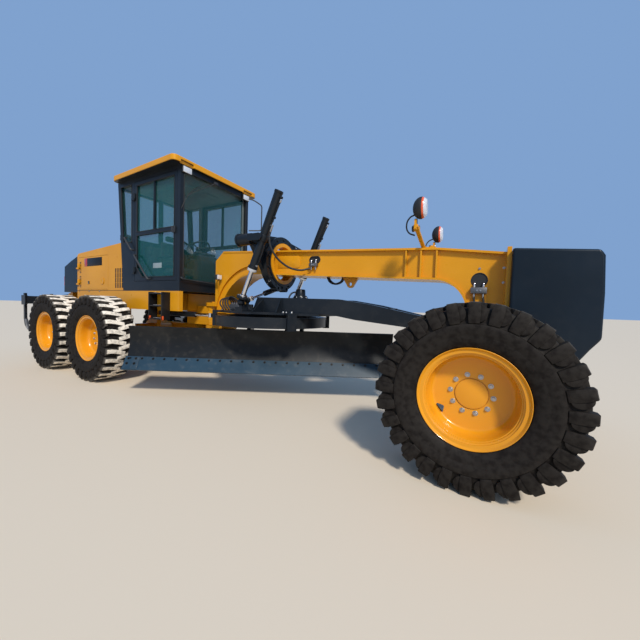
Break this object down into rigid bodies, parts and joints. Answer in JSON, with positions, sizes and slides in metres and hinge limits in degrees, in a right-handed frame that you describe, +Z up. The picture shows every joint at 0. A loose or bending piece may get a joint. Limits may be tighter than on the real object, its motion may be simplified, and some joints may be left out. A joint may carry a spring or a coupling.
{
  "type": "motor grader",
  "caption": "Articulated motor grader with a glazed cab, a blade turned on its circle under a gooseneck frame, a tandem rear axle, a nose weight and a rear ripper.",
  "frame": {"origin": "centre of the machine's bounding box, on the ground", "axes": "+X forward, +Y to the machine's left, +Z up"},
  "size_m": [9.86, 2.6704, 3.355],
  "materials": {
    "yellow_paint": "satin, dusty",
    "charcoal_paint": "satin",
    "black_paint": "satin",
    "cast_block": "painted casting",
    "tinted_glass": "tinted",
    "seat_fabric": "woven cover",
    "bright_steel": "machined",
    "chromed_rod": "polished",
    "worn_steel": "worn, blue-grey",
    "tyre_rubber": "matt with dust"
  },
  "bodies": {
    "rear": {"rear_frame": "yellow_paint", "rear_axle": "yellow_paint", "engine": "cast_block", "hood": "yellow_paint", "rear_housing": "charcoal_paint", "rear_fittings": "black_paint", "cab_shell": "charcoal_paint", "cab_roof": "yellow_paint", "cab_glass": "tinted_glass", "seat_and_console": "seat_fabric"},
    "front": {"front_frame": "yellow_paint", "saddle": "charcoal_paint", "nose_weight": "charcoal_paint", "front_axle": "yellow_paint", "front_fittings": "black_paint"},
    "left_knuckle": {"left_knuckle": "black_paint"},
    "right_knuckle": {"right_knuckle": "black_paint"},
    "tie_rod": {"tie_rod": "black_paint"},
    "swivel": {"drawbar_ball": "bright_steel"},
    "drawbar": {"drawbar": "charcoal_paint"},
    "circle": {"circle": "charcoal_paint"},
    "carrier": {"blade_carrier": "charcoal_paint"},
    "blade": {"moldboard": "charcoal_paint", "cutting_edge": "worn_steel"},
    "shift_barrel": {"shift_barrel": "charcoal_paint"},
    "shift_rod": {"shift_rod": "chromed_rod"},
    "right_door": {"right_door": "charcoal_paint", "right_door_glass": "tinted_glass"},
    "right_hood_door": {"right_hood_door": "yellow_paint"},
    "right_collar": {"right_collar": "charcoal_paint"},
    "right_lift_barrel": {"right_lift_barrel": "charcoal_paint"},
    "right_lift_rod": {"right_lift_rod": "chromed_rod"},
    "right_steer_barrel": {"right_steer_barrel": "charcoal_paint"},
    "right_steer_rod": {"right_steer_rod": "chromed_rod"},
    "left_door": {"left_door": "charcoal_paint", "left_door_glass": "tinted_glass"},
    "left_hood_door": {"left_hood_door": "yellow_paint"},
    "left_collar": {"left_collar": "charcoal_paint"},
    "left_lift_barrel": {"left_lift_barrel": "charcoal_paint"},
    "left_lift_rod": {"left_lift_rod": "chromed_rod"},
    "left_steer_barrel": {"left_steer_barrel": "charcoal_paint"},
    "left_steer_rod": {"left_steer_rod": "chromed_rod"},
    "ripper": {"ripper": "charcoal_paint"},
    "ripper_lower_link": {"ripper_lower_link": "charcoal_paint"},
    "ripper_upper_link": {"ripper_upper_link": "charcoal_paint"},
    "ripper_barrel": {"ripper_barrel": "charcoal_paint"},
    "ripper_rod": {"ripper_rod": "chromed_rod"},
    "front_right_wheel": {"front_right_rim": "yellow_paint", "front_right_tyre": "tyre_rubber"},
    "front_left_wheel": {"front_left_rim": "yellow_paint", "front_left_tyre": "tyre_rubber"},
    "mid_right_wheel": {"mid_right_rim": "yellow_paint", "mid_right_tyre": "tyre_rubber"},
    "mid_left_wheel": {"mid_left_rim": "yellow_paint", "mid_left_tyre": "tyre_rubber"},
    "back_right_wheel": {"back_right_rim": "yellow_paint", "back_right_tyre": "tyre_rubber"},
    "back_left_wheel": {"back_left_rim": "yellow_paint", "back_left_tyre": "tyre_rubber"}
  },
  "joints": [
    {"name": "articulation", "type": "hinge", "parent": "rear", "child": "front", "pos_m": [0.1, 0.03273, 1.07], "axis": [0, 0, 1], "range_deg": [-20, 20]},
    {"name": "right_steer_barrel_hinge", "type": "hinge", "parent": "rear", "child": "right_steer_barrel", "pos_m": [-0.68, -0.39727, 1.09], "axis": [0, 0, 1], "range_deg": [-7, 7]},
    {"name": "right_steer_rod_slide", "type": "slide", "parent": "right_steer_barrel", "child": "right_steer_rod", "axis": [0.9986, 0.0535, 0], "range_m": [-0.14, 0.14]},
    {"name": "left_steer_barrel_hinge", "type": "hinge", "parent": "rear", "child": "left_steer_barrel", "pos_m": [-0.68, 0.46273, 1.09], "axis": [0, 0, 1], "range_deg": [-7, 7]},
    {"name": "left_steer_rod_slide", "type": "slide", "parent": "left_steer_barrel", "child": "left_steer_rod", "axis": [0.9986, -0.0535, 0], "range_m": [-0.14, 0.14]},
    {"name": "steering", "type": "hinge", "parent": "front", "child": "left_knuckle", "pos_m": [4.05, 0.83273, 0.67], "axis": [0, 0, 1], "range_deg": [-40, 40]},
    {"name": "right_steering", "type": "hinge", "parent": "front", "child": "right_knuckle", "pos_m": [4.05, -0.76727, 0.67], "axis": [0, 0, 1], "range_deg": [-40, 40]},
    {"name": "tie_rod_pin", "type": "hinge", "parent": "right_knuckle", "child": "tie_rod", "pos_m": [3.815, -0.76727, 0.565], "axis": [0, 0, 1], "range_deg": [-40, 40]},
    {"name": "drawbar_swing", "type": "hinge", "parent": "front", "child": "swivel", "pos_m": [3.75, 0.03273, 1.07], "axis": [0, 0, -1], "range_deg": [-5, 5]},
    {"name": "drawbar_lift", "type": "hinge", "parent": "swivel", "child": "drawbar", "pos_m": [3.75, 0.03273, 1.07], "axis": [0, 1, 0], "range_deg": [-13.5, 2]},
    {"name": "circle_turn", "type": "hinge", "parent": "drawbar", "child": "circle", "pos_m": [1.33, 0.03273, 1.0475], "axis": [0, 0, 1], "range_deg": [0, 111]},
    {"name": "blade_tilt", "type": "hinge", "parent": "circle", "child": "carrier", "pos_m": [1.42211, -0.13345, 0.6], "axis": [0.8746, 0.4848, 0], "range_deg": [-5, 35]},
    {"name": "blade_side_shift", "type": "slide", "parent": "carrier", "child": "blade", "axis": [-0.8746, -0.4848, 0], "range_m": [-0.5, 0.5]},
    {"name": "right_collar_hinge", "type": "hinge", "parent": "front", "child": "right_collar", "pos_m": [1.62968, -0.56727, 2.11], "axis": [1, 0, 0], "range_deg": [-16, 16]},
    {"name": "right_lift_barrel_hinge", "type": "hinge", "parent": "right_collar", "child": "right_lift_barrel", "pos_m": [1.62968, -0.56727, 2.11], "axis": [0, 1, 0], "range_deg": [-11, 4]},
    {"name": "right_lift_rod_slide", "type": "slide", "parent": "right_lift_barrel", "child": "right_lift_rod", "axis": [-0.3963, 0, -0.9181], "range_m": [-0.15, 0.6]},
    {"name": "left_collar_hinge", "type": "hinge", "parent": "front", "child": "left_collar", "pos_m": [1.62968, 0.63273, 2.11], "axis": [1, 0, 0], "range_deg": [-16, 16]},
    {"name": "left_lift_barrel_hinge", "type": "hinge", "parent": "left_collar", "child": "left_lift_barrel", "pos_m": [1.62968, 0.63273, 2.11], "axis": [0, 1, 0], "range_deg": [-11, 4]},
    {"name": "left_lift_rod_slide", "type": "slide", "parent": "left_lift_barrel", "child": "left_lift_rod", "axis": [-0.3963, 0, -0.9181], "range_m": [-0.15, 0.6]},
    {"name": "shift_barrel_hinge", "type": "hinge", "parent": "front", "child": "shift_barrel", "pos_m": [1.3, 0.12773, 1.51432], "axis": [1, 0, 0], "range_deg": [-9, 37]},
    {"name": "shift_rod_slide", "type": "slide", "parent": "shift_barrel", "child": "shift_rod", "axis": [0, -0.9549, -0.2968], "range_m": [-0.25, 0.25]},
    {"name": "right_door_hinge", "type": "hinge", "parent": "rear", "child": "right_door", "pos_m": [-1, -0.68727, 2.4], "axis": [0, 0, -1], "range_deg": [0, 80]},
    {"name": "right_hood_door_hinge", "type": "hinge", "parent": "rear", "child": "right_hood_door", "pos_m": [-3.266, -0.54727, 1.8], "axis": [0, 0, -1], "range_deg": [0, 90]},
    {"name": "left_door_hinge", "type": "hinge", "parent": "rear", "child": "left_door", "pos_m": [-1, 0.75273, 2.4], "axis": [0, 0, 1], "range_deg": [0, 80]},
    {"name": "left_hood_door_hinge", "type": "hinge", "parent": "rear", "child": "left_hood_door", "pos_m": [-3.266, 0.61273, 1.8], "axis": [0, 0, 1], "range_deg": [0, 90]},
    {"name": "ripper_lift", "type": "hinge", "parent": "rear", "child": "ripper_lower_link", "pos_m": [-4.07, 0.03273, 1.01], "axis": [0, 1, 0], "range_deg": [-60, 8]},
    {"name": "ripper_upper_hinge", "type": "hinge", "parent": "rear", "child": "ripper_upper_link", "pos_m": [-4.07, 0.03273, 1.35], "axis": [0, 1, 0], "range_deg": [-60, 8]},
    {"name": "ripper_beam_hinge", "type": "hinge", "parent": "ripper_lower_link", "child": "ripper", "pos_m": [-4.69, 0.03273, 0.97], "axis": [0, 1, 0], "range_deg": [-8, 60]},
    {"name": "ripper_barrel_hinge", "type": "hinge", "parent": "rear", "child": "ripper_barrel", "pos_m": [-4.03, 0.03273, 1.56], "axis": [0, 1, 0], "range_deg": [-26, 4]},
    {"name": "ripper_rod_slide", "type": "slide", "parent": "ripper_barrel", "child": "ripper_rod", "axis": [-0.6949, 0, -0.7191], "range_m": [-0.05, 0.3]},
    {"name": "front_right_wheel_spin", "type": "hinge", "parent": "right_knuckle", "child": "front_right_wheel", "pos_m": [4.05, -1.04727, 0.67], "axis": [0, 1, 0], "continuous": true},
    {"name": "front_left_wheel_spin", "type": "hinge", "parent": "left_knuckle", "child": "front_left_wheel", "pos_m": [4.05, 1.11273, 0.67], "axis": [0, 1, 0], "continuous": true},
    {"name": "mid_right_wheel_spin", "type": "hinge", "parent": "rear", "child": "mid_right_wheel", "pos_m": [-1.291, -1.04727, 0.67], "axis": [0, 1, 0], "continuous": true},
    {"name": "mid_left_wheel_spin", "type": "hinge", "parent": "rear", "child": "mid_left_wheel", "pos_m": [-1.291, 1.11273, 0.67], "axis": [0, 1, 0], "continuous": true},
    {"name": "back_right_wheel_spin", "type": "hinge", "parent": "rear", "child": "back_right_wheel", "pos_m": [-2.829, -1.04727, 0.67], "axis": [0, 1, 0], "continuous": true},
    {"name": "back_left_wheel_spin", "type": "hinge", "parent": "rear", "child": "back_left_wheel", "pos_m": [-2.829, 1.11273, 0.67], "axis": [0, 1, 0], "continuous": true}
  ],
  "couplings": [
    {"joint": "right_steer_barrel_hinge", "follows": "articulation", "ratio": 0.29},
    {"joint": "right_steer_rod_slide", "follows": "articulation", "m_per_rad": 0.385},
    {"joint": "left_steer_barrel_hinge", "follows": "articulation", "ratio": 0.29},
    {"joint": "left_steer_rod_slide", "follows": "articulation", "m_per_rad": -0.385},
    {"joint": "right_steering", "follows": "steering", "ratio": 1},
    {"joint": "tie_rod_pin", "follows": "steering", "ratio": -1},
    {"joint": "right_collar_hinge", "follows": "drawbar_swing", "ratio": 2.8},
    {"joint": "right_lift_barrel_hinge", "follows": "drawbar_lift", "ratio": 0.73},
    {"joint": "right_lift_rod_slide", "follows": "drawbar_lift", "m_per_rad": -2.335},
    {"joint": "left_collar_hinge", "follows": "drawbar_swing", "ratio": 2.8},
    {"joint": "left_lift_barrel_hinge", "follows": "drawbar_lift", "ratio": 0.73},
    {"joint": "left_lift_rod_slide", "follows": "drawbar_lift", "m_per_rad": -2.335},
    {"joint": "shift_barrel_hinge", "follows": "drawbar_lift", "ratio": -2.6},
    {"joint": "shift_rod_slide", "follows": "drawbar_swing", "m_per_rad": -2.45},
    {"joint": "ripper_upper_hinge", "follows": "ripper_lift", "ratio": 1},
    {"joint": "ripper_beam_hinge", "follows": "ripper_lift", "ratio": -1},
    {"joint": "ripper_barrel_hinge", "follows": "ripper_lift", "ratio": 0.41},
    {"joint": "ripper_rod_slide", "follows": "ripper_lift", "m_per_rad": -0.256}
  ]
}
